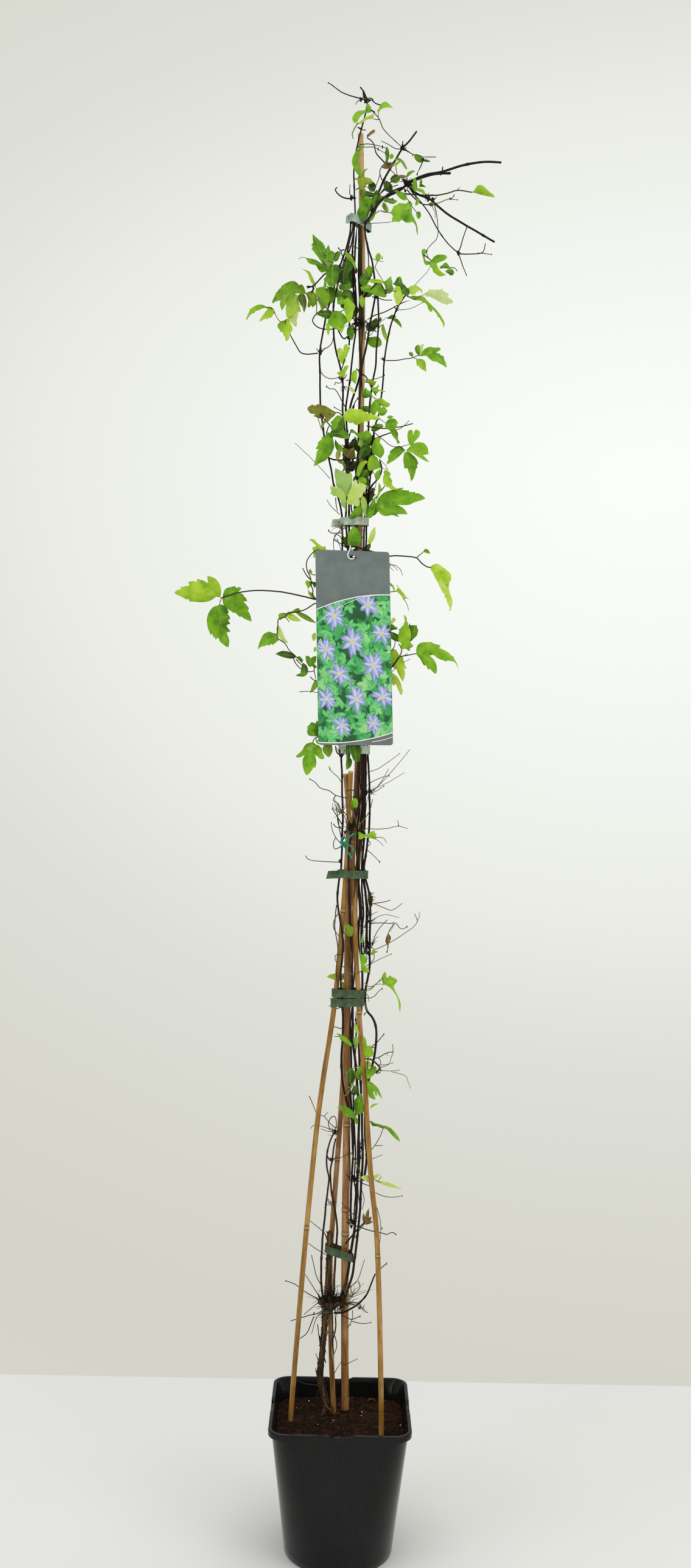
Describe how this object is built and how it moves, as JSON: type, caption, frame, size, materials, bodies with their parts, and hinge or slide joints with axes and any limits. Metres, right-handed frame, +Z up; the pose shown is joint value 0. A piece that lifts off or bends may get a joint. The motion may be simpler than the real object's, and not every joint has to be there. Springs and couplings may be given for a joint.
{
  "type": "clematis plant on bamboo canes",
  "caption": "Tall climbing clematis tied to bamboo canes in a charcoal nursery pot with a square rim and round base, with leaves on long curling stalks and a hanging plant label.",
  "frame": {"origin": "centre of the pot's underside", "axes": "+Z up the canes, -Y towards the printed face of the label, +X to the right of someone who reads the label"},
  "size_m": [0.4346, 0.1898, 2.0016],
  "materials": {
    "pot_plastic": "matte charcoal injection-moulded plastic",
    "potting_mix": "loose dark red-brown bark and peat mix",
    "bamboo": "smooth golden-tan bamboo skin with node rings",
    "old_bark": "peeling brown fibrous bark",
    "stem": "thin dark woody climbing stems",
    "leaf": "thin soft green leaf, paler underneath",
    "dark_tape": "dark green stretch tape",
    "pale_tape": "pale grey-green translucent stretch tape",
    "twine": "teal twisted twine",
    "label_card": "thin semi-gloss printed plastic card",
    "loop_plastic": "white moulded plastic loop"
  },
  "bodies": {
    "root": {"pot": "pot_plastic", "potting_soil": "potting_mix", "left_cane": "bamboo", "right_cane": "bamboo", "long_cane": "bamboo", "middle_cane": "bamboo", "old_wood": "old_bark", "left_short_stems": "stem", "side_runner_stem": "stem", "left_leader_stem": "stem", "second_stem": "stem", "centre_leader_stem": "stem", "front_stems": "stem", "right_inner_stem": "stem", "right_outer_stem": "stem", "right_top_branches": "stem", "rising_top_branch": "stem", "foot_tie": "dark_tape", "lower_tie": "dark_tape", "double_tie": "dark_tape", "middle_tie": "dark_tape", "label_foot_tie": "pale_tape", "upper_tie": "pale_tape", "top_tie": "pale_tape", "green_twine": "twine", "plant_label": "label_card", "label_hook": "loop_plastic", "far_left_spray": "leaf", "second_left_spray": "leaf", "label_foot_left_leaf": "leaf", "label_head_left_leaves": "leaf", "right_high_spray": "leaf", "right_folded_leaves": "leaf", "right_label_spray": "leaf", "label_foot_leaf": "leaf", "pale_leaves": "leaf", "big_bright_leaf": "leaf", "small_right_leaves": "leaf", "fan_spray": "leaf", "round_right_leaves": "leaf", "left_green_leaves": "leaf", "small_upper_leaves": "leaf", "long_stalk_right_spray": "leaf", "far_upper_left_spray": "leaf", "upper_left_leaves": "leaf", "upper_centre_leaves": "leaf", "upper_right_leaves": "leaf", "far_right_pair": "leaf", "lower_middle_right_leaves": "leaf", "top_tip_leaves": "leaf", "top_cane_leaf": "leaf", "top_green_leaves": "leaf", "top_bright_leaf": "leaf", "long_stalk_top_leaf": "leaf", "hanging_top_spray": "leaf", "small_top_leaves": "leaf", "low_right_leaves": "leaf", "low_centre_leaves": "leaf", "trailing_leaf": "leaf", "bright_side_leaf": "leaf"}
  },
  "joints": []
}
